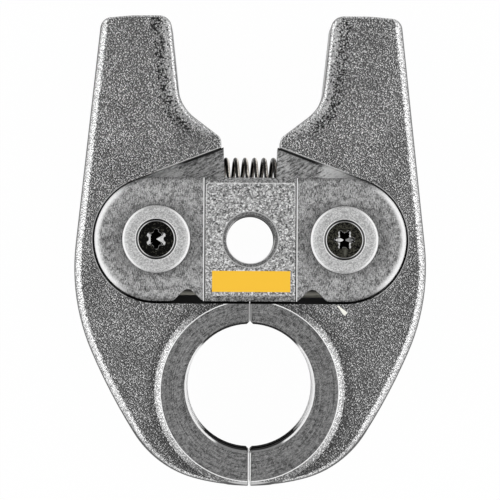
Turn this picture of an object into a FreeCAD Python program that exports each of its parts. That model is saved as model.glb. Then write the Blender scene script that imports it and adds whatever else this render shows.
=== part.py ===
import FreeCAD, Part
import math
import os
from FreeCAD import Vector

# Press fitting tool jaw: two forged jaw halves that swing on pins between two straps.
# X runs across the jaw, Y from the pressing ring towards the legs, Z through the thickness.
# The origin is the centre of the drive pin bore, in the middle plane. All sizes are in millimetres.

# Pivots and how far each jaw half opens
pivot_half_pitch = 25.0
open_angle = 18.0
pin_radius = 6.0
pin_running_clearance = 0.05
pin_seat_clearance = 0.02

# Thicknesses, as half heights about the middle plane
body_half_thickness = 13.0
ring_boss_rise = 1.0
strap_thickness = 6.5
strap_proud = 0.1
strap_side_clearance = 0.1
block_rise = 1.0

# Straps
strap_end_radius = 16.45
strap_edge_reach = 1.5
strap_edge_drop = 0.5
drive_bore_radius = 6.35
drive_bore_chamfer = 1.1
block_half_width = 12.5
block_bevel = 0.65
block_bevel_top = 1.4
block_bevel_bottom = 1.5
block_base_corner = 0.3
block_top_corner = 1.1
notch_x = 16.55
notch_half_width = 3.95
notch_radius = 1.9

# Outline of the jaw halves
leg_top_y = 59.45
leg_outer_x = 39.88
leg_inner_x = 21.5
leg_taper = 6.2
leg_crown_x = 31.5
leg_crown_drop = 0.8
leg_crown_radius = 30.0
leg_outer_corner_radius = 3.0
leg_inner_corner_radius = 3.3
ramp_angle = 37.3
ramp_foot_y = 26.97
cam_radius = 11.3
nose_x = 7.9
nose_radius = 2.0
waist_radius = 56.3
waist_y = -7.5
flank_radius = 160.0
flank_start_angle = 23.4
foot_half_width = 14.5
foot_radius = 57.0
foot_y = -65.35

# Rounding of the forged outline's edges, wide down the sides and narrow at the top and the ramps
side_edge_radius = 2.2
foot_edge_radius = 1.2
top_edge_radius = 0.5
leg_inner_edge_radius = 1.1
ramp_edge_radius = 0.3

# Machined recess for the straps and what lies between the webs
recess_gap = 0.5
recess_drop = 0.15
recess_slant = 20.7
web_face_x = 7.25
web_face_lean = 2.4
drive_pin_clearance = 0.7
relief_width = 2.3
relief_depth = 3.0

# Pressing ring and its contour
ring_y = -39.2
ring_boss_x = -0.35
ring_boss_y = -40.2
ring_boss_radius = 24.1
ring_boss_slope = 1.5
contour_radius = 16.8
contour_mouth = 0.45
lip_length = 2.6
bead_depth = 0.9
bead_slope = 0.6
centre_land_length = 6.0
split_half_gap = 0.1
split_chamfer = 0.35
split_corner_chamfer = 0.7
split_foot_chamfer = 0.35

# Discs and countersunk screws
disc_radius = 8.98
disc_thickness = 3.0
disc_rise = 1.0
disc_rim_reach = 0.5
disc_rim_drop = 0.22
disc_seat_clearance = 0.04
sink_radius = 5.4
screw_radius = 2.5
screw_length = 10.0
screw_head_radius = 4.95
screw_head_land = 0.3
screw_hole_clearance = 0.25
thread_clearance = 0.03
tapped_depth_beyond = 2.0
tapped_mouth_chamfer = 0.4
lobe_outer_radius = 2.7
lobe_inner_radius = 1.9
lobe_half_angle = 13.0
lobe_corner_ratio = 0.93
lobe_floor_outer_radius = 2.1
lobe_floor_inner_radius = 0.9
lobe_depth = 1.2

# Closing spring, lying across between the two webs
spring_y = 17.35
spring_outer_radius = 4.85
spring_wire_radius = 0.6
spring_pitch = 2.53
spring_pocket_clearance = 0.25
spring_pocket_depth = 5.0
spring_end_gap = 0.05

# Sizes that follow from those above
ring_half_thickness = body_half_thickness + ring_boss_rise
strap_outer_z = body_half_thickness + strap_proud
strap_inner_z = strap_outer_z - strap_thickness
web_half_thickness = strap_inner_z - strap_side_clearance
block_z = strap_outer_z + block_rise
disc_outer_z = strap_outer_z + disc_rise
disc_inner_z = disc_outer_z - disc_thickness
recess_radius = strap_end_radius + recess_gap
strap_length_half = pivot_half_pitch + strap_end_radius
beyond = 2.0 * leg_top_y

Z_AXIS = Vector(0, 0, 1)


def at(x, y, z=0.0):
    return Vector(x, y, z)


def direction(degrees):
    return Vector(math.cos(math.radians(degrees)), math.sin(math.radians(degrees)), 0)


def arc(centre, radius, start_deg, end_deg):
    """An arc turning anticlockwise from start to end."""
    circle = Part.Circle(centre, Z_AXIS, radius)
    return Part.ArcOfCircle(circle, math.radians(start_deg), math.radians(end_deg)).toShape()


def angle_of(vector):
    return math.degrees(math.atan2(vector.y, vector.x))


def rounded_edges(corners, closed):
    """Lines through the corners (x, y, radius), with each corner rounded by an arc."""
    points = [at(x, y) for x, y, r in corners]
    count = len(points)
    starts, ends, arcs = list(points), list(points), []
    for i, (x, y, radius) in enumerate(corners):
        if radius <= 0:
            continue
        into = points[i].sub(points[i - 1]).normalize()
        out = points[(i + 1) % count].sub(points[i]).normalize()
        turn = into.getAngle(out)
        reach = radius * math.tan(turn / 2)
        ends[i] = points[i].sub(into * reach)
        starts[i] = points[i].add(out * reach)
        bisector = out.sub(into).normalize()
        middle = points[i].add(bisector * (radius / math.cos(turn / 2) - radius))
        arcs.append(Part.Arc(ends[i], middle, starts[i]).toShape())
    edges = list(arcs)
    for i in range(count if closed else count - 1):
        a, b = starts[i], ends[(i + 1) % count]
        if a.distanceToPoint(b) > 1e-6:
            edges.append(Part.makeLine(a, b))
    return edges


def wire_of(edges):
    return Part.Wire(Part.__sortEdges__(edges))


def plate(wire, low_z, high_z):
    """A flat plate of the wire's outline between two heights."""
    face = Part.Face(wire)
    face.translate(at(0, 0, low_z))
    return face.extrude(at(0, 0, high_z - low_z))


def block(x0, y0, z0, x1, y1, z1):
    return Part.makeBox(x1 - x0, y1 - y0, z1 - z0, at(x0, y0, z0))


def mirrored(shape, normal):
    return shape.mirror(at(0, 0, 0), normal)


def both_faces(shape):
    """A cutter for the front together with its copy for the back."""
    return shape.fuse(mirrored(shape, Z_AXIS))


def slanted_wall_y(x):
    """Height of the recess's slanted upper wall at a place across the jaw."""
    touch_x = pivot_half_pitch + recess_radius * math.sin(math.radians(recess_slant))
    touch_y = -recess_drop + recess_radius * math.cos(math.radians(recess_slant))
    return touch_y + (touch_x - x) * math.tan(math.radians(recess_slant))


def jaw_outline():
    """Outline of the right jaw half, out to the middle line of the tool."""
    taper = math.radians(leg_taper)
    down_side = Vector(math.sin(taper), -math.cos(taper), 0)
    inward = Vector(-math.cos(taper), -math.sin(taper), 0)
    side_top = at(leg_outer_x, leg_top_y)
    run = (leg_top_y - waist_y + waist_radius * inward.y) / -down_side.y
    waist_start = side_top.add(down_side * run)
    waist_centre = waist_start.add(inward * waist_radius)

    flank_direction = direction(-flank_start_angle)
    flank_centre = waist_centre.sub(flank_direction * (flank_radius - waist_radius))
    foot_centre = at(0, foot_y + foot_radius)
    foot_end = at(foot_half_width, foot_centre.y - math.sqrt(foot_radius**2 - foot_half_width**2))
    outward = foot_end.sub(foot_centre).normalize()
    reach = foot_end.sub(flank_centre)
    hip_radius = (flank_radius**2 - reach.Length**2) / (2 * (flank_radius - reach.dot(outward)))
    hip_centre = foot_end.sub(outward * hip_radius)
    hip_start = angle_of(outward)
    hip_end = angle_of(hip_centre.sub(flank_centre))
    curves = [
        arc(foot_centre, foot_radius, -90, hip_start),
        arc(hip_centre, hip_radius, hip_start, hip_end),
        arc(flank_centre, flank_radius, hip_end, -flank_start_angle),
        arc(waist_centre, waist_radius, -flank_start_angle, leg_taper),
    ]

    ramp_slope = math.tan(math.radians(ramp_angle))
    leg_slope = math.tan(taper)
    cam_x = (leg_inner_x - leg_slope * (leg_top_y - ramp_foot_y + ramp_slope * nose_x)) / (
        1 - leg_slope * ramp_slope
    )
    cam_y = ramp_foot_y + (cam_x - nose_x) * ramp_slope
    corners = [
        (waist_start.x, waist_start.y, 0),
        (leg_outer_x + leg_slope * leg_crown_drop, leg_top_y - leg_crown_drop, leg_outer_corner_radius),
        (leg_crown_x, leg_top_y, leg_crown_radius),
        (leg_inner_x, leg_top_y, leg_inner_corner_radius),
        (cam_x, cam_y, cam_radius),
        (nose_x, ramp_foot_y, nose_radius),
        (nose_x, 0, 0),
        (0, 0, 0),
        (0, foot_y, 0),
    ]
    return wire_of(curves + rounded_edges(corners, False))


def edge_radius_at(point):
    """How far the forging's face is rounded where its outline passes a point."""
    if point.y > ramp_foot_y and point.x < (leg_inner_x + leg_outer_x) / 2:
        on_ramp = point.x < nose_x + cam_radius / 2
        on_top = point.y > leg_top_y - 1e-3
        return ramp_edge_radius if on_ramp else top_edge_radius if on_top else leg_inner_edge_radius
    if point.y > leg_top_y - 2 * leg_crown_drop:
        return top_edge_radius
    if point.x < nose_x + 1e-3:
        return foot_edge_radius if point.y < 0 else ramp_edge_radius
    return foot_edge_radius if point.x < foot_half_width + 1e-3 else side_edge_radius


def jaw_blank():
    """The forging, with the edges of both faces rounded all round its outline."""
    blank = plate(jaw_outline(), -body_half_thickness, body_half_thickness)
    rounded = []
    for index, edge in enumerate(blank.Edges):
        ends = [vertex.Point for vertex in edge.Vertexes]
        on_face = all(abs(abs(end.z) - body_half_thickness) < 1e-3 for end in ends)
        on_middle = all(end.x < 1e-3 for end in ends) or all(abs(end.y) < 1e-3 for end in ends)
        if on_face and not on_middle and edge.BoundBox.ZLength < 1e-3:
            first, last = (edge_radius_at(edge.valueAt(p)) for p in (edge.FirstParameter, edge.LastParameter))
            rounded.append((index + 1, first, last))
    workshop = FreeCAD.newDocument()
    raw = workshop.addObject("Part::Feature", "raw")
    raw.Shape = blank
    forging = workshop.addObject("Part::Fillet", "forging")
    forging.Base = raw
    forging.Edges = rounded
    workshop.recompute()
    shape = forging.Shape.copy()
    FreeCAD.closeDocument(workshop.Name)
    return shape


def ring_boss():
    """Machined boss that stands out of both faces round the pressing ring.

    Its centre lies past the middle line, since a saw cut is lost where the halves are parted.
    The jaw's outline cuts it off at the foot.
    """
    foot = ring_boss_radius + ring_boss_slope
    core = Part.makeCylinder(
        foot, 2 * body_half_thickness, at(ring_boss_x, ring_boss_y, -body_half_thickness)
    )
    cone = Part.makeCone(
        foot, ring_boss_radius, ring_boss_rise, at(ring_boss_x, ring_boss_y, body_half_thickness)
    )
    outline = plate(jaw_outline(), -ring_half_thickness, ring_half_thickness)
    return core.fuse(both_faces(cone)).common(outline)


def recess_cutter():
    """The pocket in one face that the strap turns in."""
    centre = at(pivot_half_pitch, -recess_drop)
    floor_y = -recess_drop - recess_radius
    past_middle = -2 * split_half_gap - recess_gap
    touch = centre.add(direction(90 - recess_slant) * recess_radius)
    edges = [
        arc(centre, recess_radius, -90, 90 - recess_slant),
        Part.makeLine(touch, at(past_middle, slanted_wall_y(past_middle))),
        Part.makeLine(at(past_middle, slanted_wall_y(past_middle)), at(past_middle, floor_y)),
        Part.makeLine(at(past_middle, floor_y), at(pivot_half_pitch, floor_y)),
    ]
    pocket = plate(wire_of(edges), web_half_thickness, 2 * ring_half_thickness)
    relief = block(
        past_middle, floor_y, web_half_thickness - relief_depth,
        pivot_half_pitch, floor_y + relief_width, 2 * ring_half_thickness,
    )
    return pocket.fuse(relief)


def web_plate():
    """The tongue of the web that reaches further in than the forged nose."""
    root_x = nose_x + nose_radius
    top_y = slanted_wall_y(web_face_x)
    corners = [
        (web_face_x - top_y * math.tan(math.radians(web_face_lean)), 0, 0),
        (root_x, 0, 0),
        (root_x, slanted_wall_y(root_x), 0),
        (web_face_x, top_y, 0),
    ]
    return plate(wire_of(rounded_edges(corners, True)), -web_half_thickness, web_half_thickness)


def drive_pin_path():
    """Room in the webs for the drive pin, as seen from a jaw half that opens."""
    radius = drive_bore_radius + drive_pin_clearance
    swing = math.radians(open_angle)
    moved = at(pivot_half_pitch * (1 - math.cos(swing)), pivot_half_pitch * math.sin(swing))
    height = 2 * body_half_thickness
    start = Part.makeCylinder(radius, height, at(0, 0, -body_half_thickness))
    end = Part.makeCylinder(radius, height, moved.add(at(0, 0, -body_half_thickness)))
    side = Vector(moved.y, -moved.x, 0).normalize() * radius
    corners = [side * -1, side, moved.add(side), moved.sub(side)]
    band = plate(Part.makePolygon(corners + [corners[0]]), -body_half_thickness, body_half_thickness)
    return start.fuse([band, end])


def contour_cutter():
    """Turned shape of the pressing contour: lips at both mouths, two bead grooves, a centre land."""
    bead = contour_radius + bead_depth
    land = centre_land_length / 2
    lip_end = ring_half_thickness - contour_mouth - lip_length
    half = [
        (contour_radius + contour_mouth + 1, ring_half_thickness + 1),
        (contour_radius, ring_half_thickness - contour_mouth),
        (contour_radius, lip_end),
        (bead, lip_end - bead_slope),
        (bead, land + bead_slope),
        (contour_radius, land),
    ]
    profile = half + [(r, -z) for r, z in reversed(half)]
    profile += [(0, -half[0][1]), (0, half[0][1])]
    points = [at(r, ring_y, z) for r, z in profile]
    face = Part.Face(Part.makePolygon(points + [points[0]]))
    return face.revolve(at(0, ring_y, 0), Z_AXIS, 360)


def edge_prism(centre, along, size):
    """A square bar on its corner, which takes the edge off two faces that it runs between."""
    bar = Part.makeBox(size, size, along.Length, at(-size / 2, -size / 2, 0))
    bar.rotate(at(0, 0, 0), Z_AXIS, 45)
    bar.Placement = FreeCAD.Placement(
        centre, FreeCAD.Rotation(Z_AXIS, Vector(along))
    ).multiply(bar.Placement)
    return bar


def split_cutter():
    """The slit between the halves, with its edges broken."""
    slit = block(-beyond, -beyond, -beyond, split_half_gap, beyond, beyond)
    face_size = (split_half_gap + split_chamfer) * math.sqrt(2)
    floor_y = -recess_drop - recess_radius
    tall = at(0, 0, 4 * ring_half_thickness)
    low = -2 * ring_half_thickness
    front = edge_prism(at(0, foot_y - 1, ring_half_thickness), at(0, floor_y - foot_y + 2, 0), face_size)
    places = [(foot_y, split_foot_chamfer)]
    places += [(ring_y + side * contour_radius, split_corner_chamfer) for side in (-1, 1)]
    corners = [
        edge_prism(at(0, y, low), tall, (split_half_gap + chamfer) * math.sqrt(2))
        for y, chamfer in places
    ]
    return slit.fuse([both_faces(front)] + corners)


def spring_pocket():
    depth = spring_pocket_depth + web_face_x
    radius = spring_outer_radius + spring_pocket_clearance
    return Part.makeCylinder(radius, depth, at(0, spring_y, 0), Vector(1, 0, 0))


def jaw_half():
    """The right jaw half."""
    body = jaw_blank().fuse(ring_boss()).cut(both_faces(recess_cutter()))
    body = body.fuse(web_plate()).removeSplitter()
    pivot_bore = Part.makeCylinder(
        pin_radius + pin_running_clearance, 2 * body_half_thickness,
        at(pivot_half_pitch, 0, -body_half_thickness),
    )
    cutters = [drive_pin_path(), spring_pocket(), pivot_bore, contour_cutter(), split_cutter()]
    return body.cut(cutters).removeSplitter()


def rounded_rectangle(half_width, low_y, high_y, radius, z):
    corners = [
        (-half_width, low_y, radius),
        (half_width, low_y, radius),
        (half_width, high_y, radius),
        (-half_width, high_y, radius),
    ]
    wire = wire_of(rounded_edges(corners, True))
    wire.translate(at(0, 0, z))
    return wire


def centre_block():
    """Raised block in the middle of a strap, bevelled all round."""
    edge = strap_end_radius
    foot = rounded_rectangle(block_half_width, -edge, edge, block_base_corner, strap_outer_z)
    top = rounded_rectangle(
        block_half_width - block_bevel, -edge + block_bevel_bottom, edge - block_bevel_top,
        block_top_corner, block_z,
    )
    crown = Part.makeLoft([foot, top], True, True)
    base = Part.Face(foot).extrude(at(0, 0, -2 * strap_edge_drop))
    return base.fuse(crown)


def rolled_edge_cutter():
    """What comes off all round the strap's outer face, which rolls over towards its rim."""
    roll_radius = (strap_edge_reach**2 + strap_edge_drop**2) / (2 * strap_edge_drop)
    past_rim = 1.0
    inner = strap_end_radius - strap_edge_reach
    rim_z = strap_outer_z - strap_edge_drop
    half_turn = math.asin(strap_edge_reach / roll_radius) / 2
    middle = at(
        0, inner + roll_radius * math.sin(half_turn),
        strap_outer_z - roll_radius * (1 - math.cos(half_turn)),
    )
    start, end = at(0, inner, strap_outer_z), at(0, strap_end_radius, rim_z)
    outside = [
        end, at(0, strap_end_radius + past_rim, rim_z),
        at(0, strap_end_radius + past_rim, strap_outer_z + past_rim),
        at(0, inner, strap_outer_z + past_rim), start,
    ]
    edges = [Part.Arc(start, middle, end).toShape()]
    edges += [Part.makeLine(a, b) for a, b in zip(outside, outside[1:])]
    profile = Part.Face(wire_of(edges))
    pieces = []
    for side in (-1, 1):
        at_pivot = profile.copy()
        at_pivot.translate(at(side * pivot_half_pitch, 0))
        pieces.append(at_pivot.revolve(at(side * pivot_half_pitch, 0), Z_AXIS, -180 * side))
        along = profile.copy()
        along.translate(at(-pivot_half_pitch, 0))
        run = along.extrude(at(2 * pivot_half_pitch, 0))
        pieces.append(run if side > 0 else mirrored(run, Vector(0, 1, 0)))
    return pieces


def strap():
    """The front strap, which ties the two pivots together."""
    end, edge = strap_length_half, strap_end_radius
    corners = [(-end, -edge, edge)]
    for x in (-notch_x, notch_x):
        corners += [
            (x - notch_half_width, -edge, notch_radius),
            (x, -edge + notch_half_width, notch_radius),
            (x + notch_half_width, -edge, notch_radius),
        ]
    corners += [(end, -edge, edge), (end, edge, edge), (-end, edge, edge)]
    flat = plate(wire_of(rounded_edges(corners, True)), strap_inner_z, strap_outer_z)
    body = flat.cut(rolled_edge_cutter()).fuse(centre_block())

    tall = block_z - strap_inner_z
    cutters = [
        Part.makeCylinder(drive_bore_radius, tall, at(0, 0, strap_inner_z)),
        Part.makeCone(
            drive_bore_radius, drive_bore_radius + drive_bore_chamfer, drive_bore_chamfer,
            at(0, 0, block_z - drive_bore_chamfer),
        ),
    ]
    for x in (-pivot_half_pitch, pivot_half_pitch):
        cutters.append(Part.makeCylinder(pin_radius + pin_seat_clearance, tall, at(x, 0, strap_inner_z)))
        cutters.append(Part.makeCylinder(disc_radius + disc_seat_clearance, tall, at(x, 0, disc_inner_z)))
    return body.cut(cutters).removeSplitter()


def disc(x):
    """Turned disc under a screw head, sunk in the strap over the pin's end."""
    body = Part.makeCylinder(disc_radius, disc_thickness - disc_rim_drop, at(x, 0, disc_inner_z))
    crown = Part.makeCone(
        disc_radius, disc_radius - disc_rim_reach, disc_rim_drop,
        at(x, 0, disc_outer_z - disc_rim_drop),
    )
    body = body.fuse(crown)
    hole_radius = screw_radius + screw_hole_clearance
    sink_depth = sink_radius - hole_radius
    sink = Part.makeCone(hole_radius, sink_radius, sink_depth, at(x, 0, disc_outer_z - sink_depth))
    hole = Part.makeCylinder(hole_radius, disc_thickness, at(x, 0, disc_inner_z))
    return body.cut([sink, hole])


def six_lobe_wire(outer_radius, inner_radius, turn, centre):
    """Outline of the drive recess, with lobes and hollows as arcs."""
    edges = []
    corner_radius = outer_radius * lobe_corner_ratio
    for k in range(6):
        middle = 60 * k + turn
        a = direction(middle - lobe_half_angle) * corner_radius
        b = direction(middle + lobe_half_angle) * corner_radius
        c = direction(middle + 60 - lobe_half_angle) * corner_radius
        edges.append(Part.Arc(a, direction(middle) * outer_radius, b).toShape())
        edges.append(Part.Arc(b, direction(middle + 30) * inner_radius, c).toShape())
    wire = wire_of(edges)
    wire.translate(centre)
    return wire


def screw(x, turn):
    """Countersunk screw seated on the cone of its disc."""
    seat_z = disc_outer_z - (sink_radius - screw_head_radius)
    cone_depth = screw_head_radius - screw_radius
    top_z = seat_z + screw_head_land
    land = Part.makeCylinder(screw_head_radius, screw_head_land, at(x, 0, seat_z))
    cone = Part.makeCone(screw_radius, screw_head_radius, cone_depth, at(x, 0, seat_z - cone_depth))
    shank = Part.makeCylinder(screw_radius, screw_length, at(x, 0, top_z - screw_length))
    mouth = six_lobe_wire(lobe_outer_radius, lobe_inner_radius, turn, at(x, 0, top_z))
    floor = six_lobe_wire(
        lobe_floor_outer_radius, lobe_floor_inner_radius, turn, at(x, 0, top_z - lobe_depth)
    )
    recess = Part.makeLoft([floor, mouth], True, True)
    return land.fuse([cone, shank]).removeSplitter().cut(recess)


def pivot_pin(x):
    """Pin between the two discs, tapped at both ends for the screws."""
    body = Part.makeCylinder(pin_radius, 2 * disc_inner_z, at(x, 0, -disc_inner_z))
    top_z = disc_outer_z - (sink_radius - screw_head_radius) + screw_head_land
    floor_z = top_z - screw_length - tapped_depth_beyond
    hole_radius = screw_radius + thread_clearance
    hole = Part.makeCylinder(hole_radius, disc_inner_z, at(x, 0, floor_z))
    mouth = Part.makeCone(
        hole_radius, hole_radius + tapped_mouth_chamfer, tapped_mouth_chamfer,
        at(x, 0, disc_inner_z - tapped_mouth_chamfer),
    )
    return body.cut(both_faces(hole.fuse(mouth)))


def closing_spring():
    """Compression spring, wound along X between the floors of the two pockets."""
    radius = spring_outer_radius - spring_wire_radius
    half_length = web_face_x + spring_pocket_depth - spring_end_gap - spring_wire_radius
    path = Part.makeHelix(spring_pitch, 2 * half_length, radius)
    slope = math.degrees(math.atan2(spring_pitch, 2 * math.pi * radius))
    normal = FreeCAD.Rotation(Vector(1, 0, 0), slope).multVec(Vector(0, 1, 0))
    section = Part.Wire(Part.Circle(at(radius, 0, 0), normal, spring_wire_radius).toShape())
    coil = Part.Wire(path).makePipeShell([section], True, True)
    turn = FreeCAD.Rotation(Vector(1, 1, 1), 120)
    coil.Placement = FreeCAD.Placement(at(-half_length, spring_y, 0), turn)
    return coil


def save(name, shape):
    shape.exportStep("parts/" + name + ".step")
    print(name, shape.isValid(), len(shape.Solids), round(shape.Volume / 1000, 3), "cm3")


os.makedirs("parts", exist_ok=True)

right = jaw_half()
save("right_jaw", right)
save("left_jaw", mirrored(right, Vector(1, 0, 0)))

front = strap()
save("front_strap", front)
save("back_strap", mirrored(front, Z_AXIS))

for side, x, turn in (("left", -pivot_half_pitch, 30), ("right", pivot_half_pitch, 0)):
    save(side + "_pivot_pin", pivot_pin(x))
    front_disc = disc(x)
    front_screw = screw(x, turn)
    save("front_" + side + "_disc", front_disc)
    save("back_" + side + "_disc", mirrored(front_disc, Z_AXIS))
    save("front_" + side + "_screw", front_screw)
    save("back_" + side + "_screw", mirrored(front_screw, Z_AXIS))

save("closing_spring", closing_spring())
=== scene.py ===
import math

import bpy
from mathutils import Euler, Matrix, Vector


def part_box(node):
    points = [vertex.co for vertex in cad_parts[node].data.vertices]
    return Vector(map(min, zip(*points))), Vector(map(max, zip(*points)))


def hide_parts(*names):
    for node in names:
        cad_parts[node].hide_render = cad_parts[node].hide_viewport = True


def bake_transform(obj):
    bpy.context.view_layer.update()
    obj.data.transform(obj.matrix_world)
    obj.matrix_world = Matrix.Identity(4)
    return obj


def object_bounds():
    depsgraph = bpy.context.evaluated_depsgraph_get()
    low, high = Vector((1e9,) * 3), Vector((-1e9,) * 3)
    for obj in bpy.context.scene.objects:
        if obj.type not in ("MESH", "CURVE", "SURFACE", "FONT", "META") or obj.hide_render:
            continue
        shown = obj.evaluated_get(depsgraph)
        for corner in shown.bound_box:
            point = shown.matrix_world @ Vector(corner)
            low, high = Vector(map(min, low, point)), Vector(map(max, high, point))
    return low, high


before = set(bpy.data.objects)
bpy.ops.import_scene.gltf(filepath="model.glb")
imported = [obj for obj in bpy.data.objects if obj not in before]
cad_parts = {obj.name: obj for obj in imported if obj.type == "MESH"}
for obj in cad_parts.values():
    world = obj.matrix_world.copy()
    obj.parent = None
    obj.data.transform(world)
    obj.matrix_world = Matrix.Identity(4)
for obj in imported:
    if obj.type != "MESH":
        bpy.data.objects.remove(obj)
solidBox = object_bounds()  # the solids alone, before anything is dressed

# Press jaw lying on its back face, seen from straight above.
# X across the jaw, Y from the pressing ring to the legs, Z up towards the camera.
mm = 0.001  # the dictionaries are in millimetres, but in metres for the floor and the softboxes
print("jaw: frame loaded")


# node helpers: a value is another node's output, or a plain number, colour or vector

def feed(tree, socket, value):
    if isinstance(value, bpy.types.NodeSocket):
        tree.links.new(value, socket)
    else:
        socket.default_value = value


def maths(tree, operation, first, second=0.0, third=0.0):
    node = tree.nodes.new("ShaderNodeMath")
    node.operation = operation
    for socket, value in zip(node.inputs, (first, second, third)):
        feed(tree, socket, value)
    return node.outputs[0]


def ramp(tree, value, low, high, atLow=0.0, atHigh=1.0):
    node = tree.nodes.new("ShaderNodeMapRange")
    node.interpolation_type = "SMOOTHSTEP"
    for name, part in (("Value", value), ("From Min", low), ("From Max", high),
                       ("To Min", atLow), ("To Max", atHigh)):
        feed(tree, node.inputs[name], part)
    return node.outputs[0]


def slidingRamp(tree, value, share, first, second):
    # a ramp whose start and end move from the first pair to the second one as the share grows
    return ramp(tree, value, blendValue(tree, share, first[0], second[0]),
                blendValue(tree, share, first[1], second[1]))


def blendColour(tree, share, first, second, mode="MIX"):
    node = tree.nodes.new("ShaderNodeMix")
    node.data_type = "RGBA"
    node.blend_type = mode
    for index, value in ((0, share), (6, first), (7, second)):
        feed(tree, node.inputs[index], value)
    return node.outputs[2]


def blendValue(tree, share, first, second):
    node = tree.nodes.new("ShaderNodeMix")
    for index, value in ((0, share), (2, first), (3, second)):
        feed(tree, node.inputs[index], value)
    return node.outputs[0]


def placed(tree):
    # object position in millimetres, with its three parts
    where = tree.nodes.new("ShaderNodeTexCoord").outputs["Object"]
    scale = tree.nodes.new("ShaderNodeVectorMath")
    scale.operation = "SCALE"
    feed(tree, scale.inputs[0], where)
    scale.inputs["Scale"].default_value = 1 / mm
    parts = tree.nodes.new("ShaderNodeSeparateXYZ")
    feed(tree, parts.inputs[0], scale.outputs[0])
    return scale.outputs[0], parts.outputs[0], parts.outputs[1], parts.outputs[2]


def facing(tree):
    # how far the bare surface faces right, up the picture and along Z
    parts = tree.nodes.new("ShaderNodeSeparateXYZ")
    feed(tree, parts.inputs[0], tree.nodes.new("ShaderNodeTexCoord").outputs["Normal"])
    return parts.outputs[0], parts.outputs[1], parts.outputs[2]


def stretched(tree, point, size, turn=0.0):
    # turns the point about Z, then divides each part by the grain's size along it
    rotated = tree.nodes.new("ShaderNodeMapping")
    feed(tree, rotated.inputs["Vector"], point)
    rotated.inputs["Rotation"].default_value = (0, 0, math.radians(turn))
    divided = tree.nodes.new("ShaderNodeVectorMath")
    divided.operation = "DIVIDE"
    feed(tree, divided.inputs[0], rotated.outputs[0])
    divided.inputs[1].default_value = size
    return divided.outputs[0]


def cloud(tree, point, size, detail, rough):
    node = tree.nodes.new("ShaderNodeTexNoise")
    feed(tree, node.inputs["Vector"], point)
    node.inputs["Scale"].default_value = 1 / size
    node.inputs["Detail"].default_value = detail
    node.inputs["Roughness"].default_value = rough
    return node.outputs[0]


def lathed(tree, radius, pitch, x, drift):
    # fine rings of this pitch round a centre, which drift a little across X
    rings = tree.nodes.new("ShaderNodeCombineXYZ")
    feed(tree, rings.inputs[0], maths(tree, "DIVIDE", radius, pitch))
    feed(tree, rings.inputs[1], maths(tree, "MULTIPLY", x, drift))
    return cloud(tree, rings.outputs[0], 1.0, 2.0, 0.6)


def speckle(tree, point, size, rarity=2.0):
    # one random level in each small cell, with fewer bright ones where rarity is higher
    cells = tree.nodes.new("ShaderNodeTexVoronoi")
    feed(tree, cells.inputs["Vector"], point)
    cells.inputs["Scale"].default_value = 1 / size
    parts = tree.nodes.new("ShaderNodeSeparateColor")
    feed(tree, parts.inputs[0], cells.outputs["Color"])
    return maths(tree, "POWER", parts.outputs[0], rarity)


def crisp(tree, point, size, rarity):
    # speckle with a part of its neighbours' level taken away, so that bright grains stand apart
    level = speckle(tree, stretched(tree, point, size), 1.0, rarity)
    toRight, toTop = (1.3 * size[0], 0.0, 0.0), (0.0, 1.3 * size[1], 0.0)
    for shift, share in ((toRight, -0.33), (toTop, -0.17)):
        moved = tree.nodes.new("ShaderNodeVectorMath")
        feed(tree, moved.inputs[0], point)
        moved.inputs[1].default_value = shift
        beside = speckle(tree, stretched(tree, moved.outputs[0], size), 1.0, rarity)
        level = maths(tree, "MULTIPLY_ADD", beside, share, level)
    return maths(tree, "MAXIMUM", maths(tree, "ADD", level, 0.08), 0.0)


def within(tree, value, low, high):
    above = maths(tree, "GREATER_THAN", value, low)
    return maths(tree, "MULTIPLY", above, maths(tree, "LESS_THAN", value, high))


def both(tree, *masks):
    product = masks[0]
    for mask in masks[1:]:
        product = maths(tree, "MULTIPLY", product, mask)
    return product


def painted(tree, colour, *coats):
    # each coat is a mask and the colour that covers what is under it
    for mask, coat in coats:
        colour = blendColour(tree, mask, colour, coat)
    return colour


def distance2d(tree, x, y, centreX, centreY):
    dx = maths(tree, "SUBTRACT", x, centreX)
    dy = maths(tree, "SUBTRACT", y, centreY)
    return maths(tree, "SQRT", maths(tree, "ADD", maths(tree, "MULTIPLY", dx, dx),
                                     maths(tree, "MULTIPLY", dy, dy)))


def relief(tree, height, depth, normal=None):
    node = tree.nodes.new("ShaderNodeBump")
    node.inputs["Distance"].default_value = depth * mm
    feed(tree, node.inputs["Height"], height)
    if normal is not None:
        feed(tree, node.inputs["Normal"], normal)
    return node.outputs[0]


def softEdge(tree, radius):
    node = tree.nodes.new("ShaderNodeBevel")
    node.samples = 6
    node.inputs["Radius"].default_value = radius * mm
    return node.outputs[0]


def wornEdge(tree, radius):
    # 1 within the radius of an edge of the solid, where rubbing has left bare metal
    bend = tree.nodes.new("ShaderNodeVectorMath")
    bend.operation = "DOT_PRODUCT"
    feed(tree, bend.inputs[0], softEdge(tree, radius))
    feed(tree, bend.inputs[1], tree.nodes.new("ShaderNodeNewGeometry").outputs["Normal"])
    return ramp(tree, bend.outputs["Value"], 0.995, 0.96)


def startFinish(name):
    material = bpy.data.materials.new(name)
    material.use_nodes = True
    tree = material.node_tree
    tree.nodes.clear()
    output = tree.nodes.new("ShaderNodeOutputMaterial")
    shader = tree.nodes.new("ShaderNodeBsdfPrincipled")
    tree.links.new(shader.outputs["BSDF"], output.inputs["Surface"])
    return material, tree, shader


def grey(level):
    return (level, level, level, 1.0)


def dress(name, material):
    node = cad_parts[name]
    if not node.material_slots:
        node.data.materials.append(material)
    for slot in node.material_slots:
        slot.material = material


# camera, floor and light

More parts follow.
